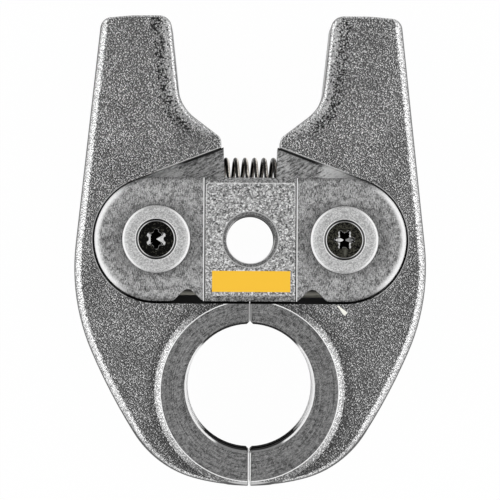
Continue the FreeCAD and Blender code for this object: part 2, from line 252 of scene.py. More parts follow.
shot = {
    "mmPerPixel": 0.2653,  # on the front faces
    "picturePixels": 500,
    "facePlane": 14.0,
    "distance": 970.0,  # from the front faces, which sets how much of the ring's wall shows
    "target": (-0.09, -2.79),  # what lies in the middle of the picture
    "aside": (-5.9, -8.2),  # the camera stands this far off from straight above it
    "roll": 0.3,  # degrees that the jaw lies turned clockwise in the picture
}
lens = bpy.data.cameras.new("shotCamera")
lens.sensor_width = 36.0
lens.lens = lens.sensor_width * shot["distance"] / (shot["mmPerPixel"] * shot["picturePixels"])
lens.clip_start = 0.01
lens.clip_end = 20.0
camera = bpy.data.objects.new("shotCamera", lens)
target = Vector((*shot["target"], shot["facePlane"])) * mm
camera.location = target + Vector((*shot["aside"], shot["distance"])) * mm
look = Euler((-math.atan2(shot["aside"][1], shot["distance"]),
              math.atan2(shot["aside"][0], shot["distance"]), 0)).to_matrix()
camera.rotation_euler = (look @ Matrix.Rotation(math.radians(shot["roll"]), 3, "Z")).to_euler()
bpy.context.scene.collection.objects.link(camera)
bpy.context.scene.camera = camera
bpy.context.scene.view_settings.view_transform = "Standard"

ground = {
    "radius": 3.0,
    "corners": 96,
    "colour": grey(0.88),
    "paper": 0.98,  # share of plain white that the camera and reflections see
}
circle = []
for corner in range(ground["corners"]):
    angle = 2 * math.pi * corner / ground["corners"]
    circle.append((ground["radius"] * math.cos(angle), ground["radius"] * math.sin(angle), solidBox[0].z))
floorMesh = bpy.data.meshes.new("floor")
floorMesh.from_pydata(circle, [], [list(range(ground["corners"]))])
floor = bpy.data.objects.new("floor", floorMesh)
bpy.context.scene.collection.objects.link(floor)


def floorPaper():
    material = bpy.data.materials.new("floorPaper")
    material.use_nodes = True
    tree = material.node_tree
    tree.nodes.clear()
    paper = tree.nodes.new("ShaderNodeBsdfDiffuse")
    paper.inputs["Color"].default_value = ground["colour"]
    white = tree.nodes.new("ShaderNodeEmission")
    ray = tree.nodes.new("ShaderNodeLightPath").outputs
    seen = maths(tree, "MAXIMUM", ray["Is Camera Ray"], ray["Is Glossy Ray"])
    seen = maths(tree, "MAXIMUM", seen, ray["Is Transmission Ray"])
    mix = tree.nodes.new("ShaderNodeMixShader")
    feed(tree, mix.inputs[0], maths(tree, "MULTIPLY", seen, ground["paper"]))
    tree.links.new(paper.outputs[0], mix.inputs[1])
    tree.links.new(white.outputs[0], mix.inputs[2])
    output = tree.nodes.new("ShaderNodeOutputMaterial")
    tree.links.new(mix.outputs[0], output.inputs["Surface"])
    return material


floorMesh.materials.append(floorPaper())

light = {
    "sky": 0.27,  # plain dome, which the flat faces mirror
    "softboxLevel": 1.32,  # brightness of the two softboxes' faces
    "softboxTilt": 45.0,  # from straight up, towards each side
    "softboxAway": 0.75,
    "softboxAcross": 1.05,
    "softboxAlong": 1.1,
}
world = bpy.data.worlds.new("studio")
world.use_nodes = True
world.node_tree.nodes["Background"].inputs["Color"].default_value = grey(1.0)
world.node_tree.nodes["Background"].inputs["Strength"].default_value = light["sky"]
bpy.context.scene.world = world


def addSoftbox(name, side):
    lamp = bpy.data.lights.new(name, "AREA")
    lamp.shape = "RECTANGLE"
    lamp.size = light["softboxAcross"]
    lamp.size_y = light["softboxAlong"]
    lamp.energy = light["softboxLevel"] * math.pi * lamp.size * lamp.size_y
    box = bpy.data.objects.new(name, lamp)
    tilt = math.radians(light["softboxTilt"]) * side
    box.location = Vector((math.sin(tilt), 0, math.cos(tilt))) * light["softboxAway"]
    box.rotation_euler = (0, tilt, 0)
    box.visible_camera = False
    bpy.context.scene.collection.objects.link(box)


addSoftbox("softboxLeft", -1)
addSoftbox("softboxRight", 1)
print("jaw: camera, floor and light ready")


# jaw halves: blasted forging, with the ring, its contour and the strap's recess machined
# A ramp's entry in the dictionaries is where it starts and where it ends, then its levels at both
# ends if they aren't 0 and 1. A pair of colours is what a grain or a ramp blends, from low to high.

jaw = {
    "face": 13.0,  # height of the forged faces
    "dark": grey(0.016),  # film between the blasted peaks
    "bright": grey(1.0),
    "grain": (0.2, 0.23, 0.2),  # size of the blasted grain along X, Y and Z
    "grainRarity": 4.0,
    "grainDepth": 0.035,
    "metallic": 0.45,
    "roughness": (0.5, 0.36),  # of the faces and of bare edges
    "edgeRadius": 0.2,  # edges look rounded by this much
    "patch": 8.0,  # size of the darker patches
    "patchLevels": (0.8, 1.12),
    "darkenedAtFoot": (-46.0, -56.0, 1.0, 0.75),
    "darkenedBelowLegs": (15.0, 0.0, 1.0, 0.93),
    "besideRing": 3.0,  # width of the darker zone beside the ring's slope
    "besideRingLevel": 0.62,
    "sideGlint": grey(0.8),  # painted glints: bright specks next to the slope, at its sides
    "bare": (grey(0.2), grey(1.0)),  # rubbed edges, and a painted highlight on those at the foot
    "bareFrom": (0.003, 0.015),  # how far an edge turns away from the face before it is bare
    "bareFromAtFoot": (0.025, 0.045),
    "bareFoot": (-48.0, -58.0),
    "bareGrain": 0.3,
    "steepFrom": (0.7, 0.4),  # the sides start where the surface faces Z less than this
    "steepFromAtFoot": (0.85, 0.6),
    "steepFoot": (-45.0, -55.0),
    "side": (grey(0.12), grey(0.06)),  # top of the sides, level with the straps and with the ring
    "sideRing": (-10.0, -40.0),
    "sideGrain": (grey(0.06), grey(0.9)),
    "sideGrainFrom": (11.0, 9.0),  # further down the sides the blasted grain shows again
    "legFoot": 15.15,  # the leg's inner line, at the height of the pivots
    "legLean": 0.1086,
    "rampFoot": (7.9, 26.97),
    "rampRise": 0.762,
    "skinWidth": 5.1,  # coarser forging skin along the legs' inner edges
    "skinWander": 2.5,
    "skinFromX": 10.5,
    "skinFromY": (26.5, 29.0),
    "skinDark": (grey(0.32), grey(0.13)),  # between the grains, by the edge and by the border
    "pit": grey(0.003),
    "pitSize": 0.44,
    "pitShare": (0.43, 0.5),  # by the edge and by the border
    "split": 0.5,  # out to here the halves' meeting edges are broken, with painted highlight and shade on them
    "splitShadeFrom": (0.34, 0.4),
    # painted shade line beside the broken edges
    "splitShade": grey(0.03),
    "splitHighlight": (grey(1.0), grey(0.45)),  # painted highlight on the broken edges, below and above the contour
    "nick": (24.4, -18.6),
    "nickHalfLength": 1.6,
    "nickHalfWidth": 0.4,
    "nickColour": (0.92, 0.91, 0.84, 1.0),
}

ring = {
    "centre": (-0.35, -40.2),  # for the right half, mirrored for the left one
    "edge": 24.1,  # of its flat face
    "foot": 25.6,  # of the slope round it
    "face": (grey(0.01), grey(0.34)),
    "brush": (0.18, 1.0, 1.0),  # size of its brushed scratches along X, Y and Z
    "brushTurn": 45.0,
    "groove": 0.3,  # pitch of its turned ones
    "grit": 0.2,
    "haze": 0.9,
    # painted highlight along the edge of the ring's face
    "edgeHighlight": grey(0.9),
    "slope": (grey(0.22), grey(0.95)),  # painted highlight: the slope's grain lit at the sides, towards the softboxes
    "slopeShaded": (grey(0.07), grey(0.9)),  # painted shade: the slope's grain darker above and below the ring
    "lowest": (grey(0.6), grey(0.1)),  # the lowest part of the slope, cut off by the jaw's outline
    "lowestFrom": (-64.1, -64.5),
    "lowestStep": (24.8, 24.95),
}

contour = {
    "centre": (0.0, -39.2),
    "edge": 17.3,
    "litBelow": (0.7, 0.88),  # how far to the side the wall gets bright, in the lower half
    "litAbove": (0.5, 0.8),
    "wallShade": (grey(0.002), grey(0.06)),  # painted shade, upright and where it slopes
    "wallLit": grey(1.0),
    "mouthLit": (0.48, 0.58),
    "mouthShade": (grey(0.24), grey(0.03)),  # painted shade in the lower half and in the upper one
}

recess = {
    "centre": (25.0, -0.15),
    "radius": 16.97,
    "foot": -17.12,
    "slantTop": (31.0, 15.72),  # the line of the slanted wall starts here
    "slant": 0.378,
    "middle": (-1.0, 1.0),  # across the gap from the left half's look to the right one's
    "dark": grey(0.02),
    "bright": (grey(0.5), grey(0.72)),  # on the left half and on the right one
    "smear": (0.36, 1.3, 1.0),  # size of the smears along X, Y and Z
    "smearTurn": 60.0,
    "grit": 0.26,
    "wipedFrom": (16.5, 21.5),  # wiped bright beyond this, towards the strap's end
    "wipedWander": 9.0,
    "wipedShare": (0.4, 1.0),
    "wiped": (grey(0.8), grey(1.0)),
    # painted shade on the recess's floor and walls
    "paintedShade": grey(0.006),
    "shadeTop": (-14.85, -15.35),  # painted shade below this, on the left half and the right one
    "slantShade": (-0.7, -0.4),  # and painted shade along the foot of the slanted wall
    "unshadedFrom": (18.0, 20.0),  # the slanted wall has no painted shade above the wiped patch
    "unshadedTo": (27.0, 25.0),
    "gap": grey(0.2),  # the painted shade is paler in the gap beyond the right strap ends
    "gapFrom": (36.0, 40.0),
    "gapHeight": (13.0, 6.0),
    "notch": (12.0, 21.0),  # where light falls in through the strap's notches
    "notchTop": (-12.4, -12.9),
    "notchLit": (-13.3, -14.8),
    "notchLight": (grey(0.01), (1.0, 0.97, 0.85, 1.0)),
    "highlightWidth": 0.22,  # width of the painted highlight along the edge above the walls
    "slantHighlightTo": 25.0,
    "slantHighlight": grey(0.5),
    "roundHighlightFrom": 33.0,
    "roundHighlight": grey(0.35),
}


def aboveSlant(tree, absX, y):
    # height over the line of the recess's slanted wall
    slantY = maths(tree, "MULTIPLY_ADD", maths(tree, "SUBTRACT", recess["slantTop"][0], absX),
                   recess["slant"], recess["slantTop"][1])
    return maths(tree, "SUBTRACT", y, slantY)


def insideRecess(tree, fromPivot, absX, y, absZ, overSlant):
    inCircle = maths(tree, "LESS_THAN", fromPivot, recess["radius"])
    band = both(tree, maths(tree, "LESS_THAN", overSlant, 0.0),
                maths(tree, "GREATER_THAN", y, recess["foot"]),
                maths(tree, "LESS_THAN", absX, recess["slantTop"][0]))
    low = maths(tree, "LESS_THAN", absZ, jaw["face"] - 0.03)
    return maths(tree, "MULTIPLY", maths(tree, "MAXIMUM", inCircle, band), low)


def skinBand(tree, absX, y):
    # distance in from the leg's inner edge and from the ramp, whichever is deeper
    lean = math.hypot(1, jaw["legLean"])
    rise = math.hypot(1, jaw["rampRise"])
    legX = maths(tree, "MULTIPLY_ADD", y, jaw["legLean"], jaw["legFoot"])
    fromLeg = maths(tree, "DIVIDE", maths(tree, "SUBTRACT", absX, legX), lean)
    rampY = maths(tree, "MULTIPLY_ADD", maths(tree, "SUBTRACT", absX, jaw["rampFoot"][0]),
                  jaw["rampRise"], jaw["rampFoot"][1])
    fromRamp = maths(tree, "DIVIDE", maths(tree, "SUBTRACT", rampY, y), rise)
    return maths(tree, "SMOOTH_MAX", fromLeg, fromRamp, 6.0)


def nickShape(tree, x, y, z):
    # a short bright nick on the right half, wider at its lower right end
    dx = maths(tree, "SUBTRACT", x, jaw["nick"][0])
    dy = maths(tree, "SUBTRACT", y, jaw["nick"][1])
    along = maths(tree, "MULTIPLY", maths(tree, "SUBTRACT", dx, dy), math.sqrt(0.5))
    aside = maths(tree, "MULTIPLY", maths(tree, "ADD", dx, dy), math.sqrt(0.5))
    width = ramp(tree, along, -jaw["nickHalfLength"], jaw["nickHalfLength"],
                 0.5 * jaw["nickHalfWidth"], 1.4 * jaw["nickHalfWidth"])
    return both(tree, maths(tree, "LESS_THAN", maths(tree, "ABSOLUTE", aside), width),
                maths(tree, "LESS_THAN", maths(tree, "ABSOLUTE", along), jaw["nickHalfLength"]),
                maths(tree, "GREATER_THAN", z, jaw["face"] - 0.1))


def forgedColour(tree, point, absX, y, absZ, ringRadius, bareEdge, grain, sideways, toFace):
    inset = skinBand(tree, absX, y)
    wander = maths(tree, "SUBTRACT", cloud(tree, point, 0.9, 2.0, 0.6), 0.5)
    edgeOfSkin = maths(tree, "MULTIPLY_ADD", wander, jaw["skinWander"], jaw["skinWidth"])
    skin = both(tree, maths(tree, "LESS_THAN", inset, edgeOfSkin),
                maths(tree, "GREATER_THAN", absX, jaw["skinFromX"]),
                ramp(tree, y, *jaw["skinFromY"]))
    plain = blendColour(tree, grain, jaw["dark"], jaw["bright"])
    # black pits crowd along the skin's border, and the forging is lighter next to the edge
    border = ramp(tree, inset, 0.35 * jaw["skinWidth"], 0.6 * jaw["skinWidth"])
    pits = maths(tree, "LESS_THAN", cloud(tree, point, jaw["pitSize"], 1.5, 0.6),
                 ramp(tree, border, 0.0, 1.0, *jaw["pitShare"]))
    spotted = blendColour(tree, grain, blendColour(tree, border, *jaw["skinDark"]), jaw["bright"])
    colour = blendColour(tree, skin, plain, blendColour(tree, pits, spotted, jaw["pit"]))
    patches = ramp(tree, cloud(tree, point, jaw["patch"], 3.0, 0.55), 0.3, 0.7, *jaw["patchLevels"])
    colour = blendColour(tree, 1.0, colour, patches, "MULTIPLY")

    # darker zone beside the ring, with painted glints next to its slope at the sides
    fromSlope = maths(tree, "SUBTRACT", ringRadius, ring["foot"])
    zone = (0.3 * jaw["besideRing"], jaw["besideRing"], jaw["besideRingLevel"], 1.0)
    darkened = both(tree, ramp(tree, fromSlope, *zone), ramp(tree, y, *jaw["darkenedAtFoot"]),
                ramp(tree, y, *jaw["darkenedBelowLegs"]))
    colour = blendColour(tree, 1.0, colour, darkened, "MULTIPLY")
    sparse = ramp(tree, fromSlope, -0.3, 0.7, 0.0, 0.9)
    glints = both(tree, maths(tree, "GREATER_THAN", grain, sparse), sideways)

    bare = blendColour(tree, ramp(tree, grain, 0.0, 0.14), *jaw["bare"])
    side = blendColour(tree, ramp(tree, y, *jaw["sideRing"]), *jaw["side"])
    blasted = blendColour(tree, grain, *jaw["sideGrain"])
    side = blendColour(tree, ramp(tree, absZ, *jaw["sideGrainFrom"]), side, blasted)
    atFoot = ramp(tree, y, *jaw["steepFoot"])
    steep = slidingRamp(tree, toFace, atFoot, jaw["steepFrom"], jaw["steepFromAtFoot"])
    return painted(tree, colour, (glints, jaw["sideGlint"]), (bareEdge, bare), (steep, side))


def ringColour(tree, point, x, y, ringRadius, grain, sideways, toFace):
    brushed = cloud(tree, stretched(tree, point, ring["brush"], ring["brushTurn"]), 1.0, 2.0, 0.6)
    haze = cloud(tree, point, ring["haze"], 3.0, 0.65)
    level = blendValue(tree, 0.45, brushed, lathed(tree, ringRadius, ring["groove"], x, 0.15))
    level = ramp(tree, blendValue(tree, 0.3, level, haze), 0.4, 0.6)
    level = blendValue(tree, 0.4, level, speckle(tree, point, ring["grit"]))
    face = blendColour(tree, level, *ring["face"])
    # painted highlight: how much of the slope's grain is lit changes across the slope
    litGrain = ramp(tree, ringRadius, ring["foot"] - 0.9, ring["foot"] - 0.1, 0.2, 0.7)
    slope = blendColour(tree, ramp(tree, grain, 0.0, litGrain), *ring["slope"])
    slope = blendColour(tree, sideways, blendColour(tree, grain, *ring["slopeShaded"]), slope)
    lowest = blendColour(tree, ramp(tree, ringRadius, *ring["lowestStep"]), *ring["lowest"])
    slope = blendColour(tree, ramp(tree, y, *ring["lowestFrom"]), slope, lowest)
    # painted highlight: a thin line along the edge of the ring's face
    line = both(tree, within(tree, ringRadius, ring["edge"] - 0.2, ring["edge"] + 0.03),
                maths(tree, "GREATER_THAN", toFace, 0.5))
    onSlope = maths(tree, "GREATER_THAN", ringRadius, ring["edge"])
    onLowest = both(tree, maths(tree, "LESS_THAN", y, ring["lowestFrom"][0]), onSlope)
    colour = painted(tree, face, (onSlope, slope), (line, ring["edgeHighlight"]))
    return colour, maths(tree, "MAXIMUM", line, onLowest)


def contourColour(tree, absX, absZ, boreRadius, upper, toFace):
    # painted light: the mouth and the wall are painted bright at the sides, towards the softboxes, and
    # painted dark as shade below and above
    across = maths(tree, "DIVIDE", absX, boreRadius)
    lit = slidingRamp(tree, across, upper, contour["litBelow"], contour["litAbove"])
    ledge = ramp(tree, toFace, 0.3, 0.5)
    wall = blendColour(tree, lit, blendColour(tree, ledge, *contour["wallShade"]), contour["wallLit"])
    mouthLit = ramp(tree, maths(tree, "MULTIPLY_ADD", upper, -0.22, across), *contour["mouthLit"])
    mouthShade = blendColour(tree, upper, *contour["mouthShade"])
    mouth = both(tree, ledge, maths(tree, "GREATER_THAN", absZ, jaw["face"]))
    colour = blendColour(tree, mouth, wall, blendColour(tree, mouthLit, mouthShade, contour["wallLit"]))
    return colour, lit


def recessColour(tree, point, x, absX, y, overSlant, toFace):
    smears = cloud(tree, stretched(tree, point, recess["smear"], recess["smearTurn"]), 1.0, 3.0, 0.6)
    level = blendValue(tree, 0.3, ramp(tree, smears, 0.35, 0.65), speckle(tree, point, recess["grit"]))
    bright = blendColour(tree, ramp(tree, x, *recess["middle"]), *recess["bright"])
    plain = blendColour(tree, level, recess["dark"], bright)
    wander = maths(tree, "MULTIPLY_ADD", maths(tree, "SUBTRACT", smears, 0.5), recess["wipedWander"], absX)
    wiped = both(tree, ramp(tree, wander, *recess["wipedFrom"]), maths(tree, "GREATER_THAN", y, 0.0),
                 ramp(tree, x, *recess["middle"], *recess["wipedShare"]))
    patch = blendColour(tree, ramp(tree, level, 0.1, 0.4), *recess["wiped"])
    # painted shade along the foot of the slanted wall and low in the recess
    slantShade = both(tree, ramp(tree, overSlant, *recess["slantShade"]),
                     ramp(tree, absX, *recess["wipedFrom"], 1.0, 0.0))
    shadeTop = ramp(tree, x, *recess["middle"], *recess["shadeTop"])
    paintedShade = ramp(tree, maths(tree, "SUBTRACT", y, shadeTop), -0.2, 0.2, 1.0, 0.0)
    # the walls are painted dark as shade too, but for the unshaded part of the slanted one
    unshaded = both(tree, ramp(tree, absX, *recess["unshadedFrom"]), ramp(tree, absX, *recess["unshadedTo"]))
    upright = both(tree, ramp(tree, toFace, 0.5, 0.8, 1.0, 0.0), maths(tree, "SUBTRACT", 1.0, unshaded))
    gap = both(tree, ramp(tree, x, *recess["gapFrom"]),
               ramp(tree, maths(tree, "ABSOLUTE", y), *recess["gapHeight"]))
    inNotch = both(tree, within(tree, absX, *recess["notch"]), ramp(tree, y, *recess["notchTop"]))
    notchLight = blendColour(tree, ramp(tree, y, *recess["notchLit"]), *recess["notchLight"])
    colour = painted(tree, plain, (wiped, patch), (slantShade, recess["paintedShade"]), (inNotch, notchLight),
                     (maths(tree, "MAXIMUM", paintedShade, upright),
                      blendColour(tree, gap, recess["paintedShade"], recess["gap"])))
    return colour, maths(tree, "MAXIMUM", wiped, inNotch)


def jawSteel():
    material, tree, shader = startFinish("jawSteel")
    point, x, y, z = placed(tree)
    absX = maths(tree, "ABSOLUTE", x)
    absZ = maths(tree, "ABSOLUTE", z)
    toFace = maths(tree, "ABSOLUTE", facing(tree)[2])

    overSlant = aboveSlant(tree, absX, y)
    fromPivot = distance2d(tree, absX, y, *recess["centre"])
    inRecess = insideRecess(tree, fromPivot, absX, y, absZ, overSlant)
    ringRadius = distance2d(tree, absX, y, *ring["centre"])
    onRing = both(tree, maths(tree, "LESS_THAN", ringRadius, ring["foot"]),
                  maths(tree, "GREATER_THAN", absZ, jaw["face"] + 0.02))
    boreRadius = distance2d(tree, x, y, *contour["centre"])
    inContour = maths(tree, "LESS_THAN", boreRadius, contour["edge"])
    upper = maths(tree, "GREATER_THAN", y, contour["centre"][1])
    split = both(tree, maths(tree, "LESS_THAN", absX, jaw["split"]),
                 maths(tree, "LESS_THAN", y, recess["foot"]))
    machined = maths(tree, "MAXIMUM", maths(tree, "MAXIMUM", inRecess, onRing), inContour)

    grain = crisp(tree, point, jaw["grain"], jaw["grainRarity"])
    rubbed = maths(tree, "MULTIPLY", maths(tree, "SUBTRACT", 1.0, toFace),
                   ramp(tree, speckle(tree, point, jaw["bareGrain"], 1.0), 0.0, 1.0, 0.2, 1.8))
    atFoot = ramp(tree, y, *jaw["bareFoot"])
    bareEdge = slidingRamp(tree, rubbed, atFoot, jaw["bareFrom"], jaw["bareFromAtFoot"])
    sideways = ramp(tree, maths(tree, "DIVIDE", absX, ringRadius), 0.5, 0.8)
    colour = forgedColour(tree, point, absX, y, absZ, ringRadius, bareEdge, grain, sideways, toFace)
    ringFinish, ringPlain = ringColour(tree, point, x, y, ringRadius, grain, sideways, toFace)
    wall, lit = contourColour(tree, absX, absZ, boreRadius, upper, toFace)
    recessed, wiped = recessColour(tree, point, x, absX, y, overSlant, toFace)
    # painted highlights along the recess's edges, on the forged face
    slantEdge = both(tree, within(tree, overSlant, 0.0, recess["highlightWidth"]),
                     maths(tree, "LESS_THAN", absX, recess["slantHighlightTo"]))
    roundEdge = both(tree, within(tree, fromPivot, recess["radius"], recess["radius"] + recess["highlightWidth"]),
                     maths(tree, "GREATER_THAN", absX, recess["roundHighlightFrom"]))
    # painted highlight on the broken edges, with a painted shade line outside it
    splitColour = blendColour(tree, ramp(tree, absX, *jaw["splitShadeFrom"]),
                              blendColour(tree, upper, *jaw["splitHighlight"]), jaw["splitShade"])
    nick = nickShape(tree, x, y, z)
    colour = painted(tree, colour, (slantEdge, recess["slantHighlight"]), (roundEdge, recess["roundHighlight"]),
                     (onRing, ringFinish), (inRecess, recessed), (split, splitColour),
                     (inContour, wall), (nick, jaw["nickColour"]))
    feed(tree, shader.inputs["Base Color"], colour)

    # bare edges are metal, but for those at the foot, whose plain white is a painted highlight, and the
    # brightest places, painted highlights among them, are plain colour
    metal = blendValue(tree, bareEdge, jaw["metallic"], ramp(tree, y, *reversed(jaw["bareFoot"])))
    plain = both(tree, onRing, ringPlain)
    for mask in (nick, inContour, split, slantEdge, both(tree, wiped, inRecess)):
        plain = maths(tree, "MAXIMUM", plain, mask)
    feed(tree, shader.inputs["Metallic"], blendValue(tree, plain, metal, 0.0))
    feed(tree, shader.inputs["Roughness"], blendValue(tree, bareEdge, *jaw["roughness"]))
    # where the contour's wall is painted dark as shade, it has no gloss either
    shadedWall = both(tree, inContour, maths(tree, "SUBTRACT", 1.0, lit))
    feed(tree, shader.inputs["Specular IOR Level"], blendValue(tree, shadedWall, 0.5, 0.0))
    bumps = maths(tree, "MULTIPLY", grain, ramp(tree, machined, 0.0, 1.0, 1.0, 0.3))
    rounding = softEdge(tree, jaw["edgeRadius"])
    feed(tree, shader.inputs["Normal"], relief(tree, bumps, jaw["grainDepth"], rounding))
    return material


finish = jawSteel()
for name in ("left_jaw", "right_jaw"):
    dress(name, finish)
print("jaw: halves dressed")


# straps: finely ground ends, a raised block with a coarse bright grain and a plain printed bar

strap = {
    "flat": (grey(0.045), grey(0.6)),
    "streak": (0.18, 0.95, 1.0),  # size of the ground streaks along X, Y and Z
    "grit": 0.22,
    "haze": 1.7,
    "bumpDepth": 0.06,
    "metallic": 0.6,
    "roughness": (0.38, 0.6),  # of the steel and of the printed bar
    "edgeRadius": 0.18,
    "pivot": (25.0, 0.0),
    "discEdge": 8.9,
    "discShade": (10.6, 15.5),  # painted shade round the discs, out to here above the pivots and beside them
    "discShadeLevel": 0.58,
    # painted highlight on the rounded ends' rim, where they face the softboxes
    "rim": grey(1.0),
    "rimFade": (14.5, 16.3),  # painted highlight, brighter towards the rim of the rounded ends
    "block": (grey(0.03), grey(1.0)),
    "blockGrain": (0.36, 0.32, 0.3),
    "blockHalfWidth": 12.5,
    "blockFace": 14.05,
    "bevel": (grey(0.05), grey(0.85)),
    "crownHalf": (11.85, 15.0),  # half sizes of the block's top face
    "crownCorner": 1.1,
    "crownHighlight": grey(0.75),
    "crownHighlightShare": (0.0, 12.0, 0.2, 0.8),  # painted highlight, brighter towards the legs
    "line": 0.26,  # width of the block's painted edge lines
    # painted highlight at the foot of the block's sides, with a painted shadow line inside it
    "footHighlight": grey(0.95),
    "footShadow": grey(0.04),
    "boreEdge": 7.45,
    "boreLine": grey(0.5),
    "boreRound": (grey(0.07), grey(0.4)),
    "boreLip": 6.5,
    # painted highlight and shade on the bore's lip, and painted shade on its wall
    "lipHighlight": grey(0.7),
    "boreShade": grey(0.03),
    "bar": (0.93, 0.53, 0.018, 1.0),
    "barCentre": (0.27, -11.15),
    "barHalf": (10.4, 2.8),
}


def crownDistance(tree, absX, y):
    # distance outside the rounded outline of the block's top face, negative inside it
    corner = strap["crownCorner"]
    overX = maths(tree, "MAXIMUM", maths(tree, "SUBTRACT", absX, strap["crownHalf"][0] - corner), 0.0)
    overY = maths(tree, "SUBTRACT", maths(tree, "ABSOLUTE", y), strap["crownHalf"][1] - corner)
    overY = maths(tree, "MAXIMUM", overY, 0.0)
    return maths(tree, "SUBTRACT", distance2d(tree, overX, overY, 0.0, 0.0), corner)


def blockColour(tree, point, x, absX, y, grit, toFace):
    crystals = blendValue(tree, 0.25, speckle(tree, stretched(tree, point, strap["blockGrain"]), 1.0),
                          ramp(tree, cloud(tree, point, 0.6, 2.0, 0.6), 0.35, 0.65))
    out = crownDistance(tree, absX, y)
    radius = distance2d(tree, x, y, 0.0, 0.0)
    line, halfWidth, boreEdge = strap["line"], strap["blockHalfWidth"], strap["boreEdge"]
    # painted highlights round the block's top face and along its foot, with a painted shadow line beside
    # the foot
    crownHighlight = both(tree, within(tree, out, -0.7 * line, 0.1 * line),
                     ramp(tree, y, *strap["crownHighlightShare"]))
    footHighlight = within(tree, absX, halfWidth - line, halfWidth + 0.05)
    footShadow = within(tree, absX, halfWidth - 2 * line, halfWidth - line)
    bore = maths(tree, "LESS_THAN", radius, boreEdge)
    rounded = both(tree, maths(tree, "GREATER_THAN", radius, strap["boreLip"]), bore)
    lip = both(tree, maths(tree, "LESS_THAN", radius, strap["boreLip"]),
               maths(tree, "GREATER_THAN", toFace, 0.3))
    # painted light on the bore's lip: bright towards the lower left, dark towards the upper right
    diagonal = maths(tree, "DIVIDE", maths(tree, "MULTIPLY_ADD", x, 0.5, y), radius)
    wall = both(tree, bore, maths(tree, "LESS_THAN", toFace, 0.3))
    colour = painted(
        tree, blendColour(tree, crystals, *strap["block"]),
        (maths(tree, "GREATER_THAN", out, 0.0), blendColour(tree, crystals, *strap["bevel"])),
        (crownHighlight, strap["crownHighlight"]), (footShadow, strap["footShadow"]), (footHighlight, strap["footHighlight"]),
        (rounded, blendColour(tree, grit, *strap["boreRound"])),
        (within(tree, radius, boreEdge - 0.15, boreEdge + 0.08), strap["boreLine"]),
        (lip, blendColour(tree, ramp(tree, diagonal, 0.3, 0.7), strap["lipHighlight"], strap["boreShade"])),
        (wall, strap["boreShade"]),
    )
    return colour, maths(tree, "MAXIMUM", maths(tree, "MAXIMUM", footHighlight, crownHighlight), bore), crystals


def strapSteel():
    material, tree, shader = startFinish("strapSteel")
    point, x, y, z = placed(tree)
    absX = maths(tree, "ABSOLUTE", x)
    toFace = maths(tree, "ABSOLUTE", facing(tree)[2])
    block = maths(tree, "LESS_THAN", absX, strap["blockHalfWidth"] + 0.05)

    streaks = cloud(tree, stretched(tree, point, strap["streak"]), 1.0, 2.0, 0.6)
    grit = speckle(tree, point, strap["grit"])
    haze = cloud(tree, point, strap["haze"], 4.0, 0.7)
    wiped = ramp(tree, blendValue(tree, 0.45, streaks, haze), 0.42, 0.58)
    brushed = blendValue(tree, 0.45, wiped, grit)
    flats = blendColour(tree, brushed, *strap["flat"])
    fromPivot = distance2d(tree, absX, y, *strap["pivot"])
    towardsEnd = maths(tree, "DIVIDE", maths(tree, "SUBTRACT", absX, strap["pivot"][0]), fromPivot)
    # painted shade round the disc, wider beside it than above it
    shadeEnd = blendValue(tree, maths(tree, "ABSOLUTE", towardsEnd), *strap["discShade"])
    shade = ramp(tree, fromPivot, strap["discEdge"], shadeEnd, strap["discShadeLevel"], 1.0)
    flats = blendColour(tree, 1.0, flats, shade, "MULTIPLY")
    # painted highlight on the rim of the rounded ends, towards the softboxes
    rimHighlight = both(tree, ramp(tree, fromPivot, *strap["rimFade"]), ramp(tree, towardsEnd, 0.35, 0.8))
    flats = blendColour(tree, rimHighlight, flats, strap["rim"])
    crown, linesAndBore, crystals = blockColour(tree, point, x, absX, y, grit, toFace)

    fromX = maths(tree, "ABSOLUTE", maths(tree, "SUBTRACT", x, strap["barCentre"][0]))
    fromY = maths(tree, "ABSOLUTE", maths(tree, "SUBTRACT", y, strap["barCentre"][1]))
    bar = both(tree, maths(tree, "LESS_THAN", fromX, strap["barHalf"][0]),
               maths(tree, "LESS_THAN", fromY, strap["barHalf"][1]),
               maths(tree, "GREATER_THAN", z, strap["blockFace"]))
    feed(tree, shader.inputs["Base Color"], painted(tree, flats, (block, crown), (bar, strap["bar"])))
    # the printed bar, the block's painted lines and bore, and the rim's painted highlight are plain
    # colour, not metal
    plain = maths(tree, "MAXIMUM", bar, both(tree, block, linesAndBore))
    plain = maths(tree, "MAXIMUM", plain, both(tree, rimHighlight, maths(tree, "SUBTRACT", 1.0, block)))
    feed(tree, shader.inputs["Metallic"], blendValue(tree, plain, strap["metallic"], 0.0))
    feed(tree, shader.inputs["Roughness"], blendValue(tree, bar, *strap["roughness"]))
    height = blendValue(tree, block, maths(tree, "MULTIPLY", brushed, 0.4), crystals)
    height = blendValue(tree, bar, height, 0.5)
    rounding = softEdge(tree, strap["edgeRadius"])
    feed(tree, shader.inputs["Normal"], relief(tree, height, strap["bumpDepth"], rounding))
    return material


finish = strapSteel()
for name in ("front_strap", "back_strap"):
    dress(name, finish)
print("jaw: straps dressed")


# turned discs over the pivots

disc = {
    "face": (grey(0.3), grey(0.66)),
    "groove": 0.25,  # pitch of the turning
    "bumpDepth": 0.015,
    "metallic": 0.7,  # of the face; the edges with painted highlights are plain colour
    "roughness": 0.45,
    "edgeRadius": 0.12,
    "rim": 8.45,
    "faceHighlightFrom": 7.2,  # painted highlight: the face gets brighter from here to the rim, at the sides
    # painted highlight on the rim and the face, at the sides
    "bright": grey(0.95),
    "sink": 5.42,  # the countersink's edge
    # painted highlight on the countersink's edge, at the sides
    "lipWidth": 0.22,
    "lip": grey(0.8),
    "sunk": (grey(0.02), grey(0.12)),  # painted shade in the countersink, above and below the screw, and at its sides
}


def aboutPivot(tree, x, y):
    # place to the right of the nearer pivot, and distance from it
    right = maths(tree, "MULTIPLY_ADD", maths(tree, "SIGN", x), -strap["pivot"][0], x)
    return right, distance2d(tree, right, y, 0.0, 0.0)


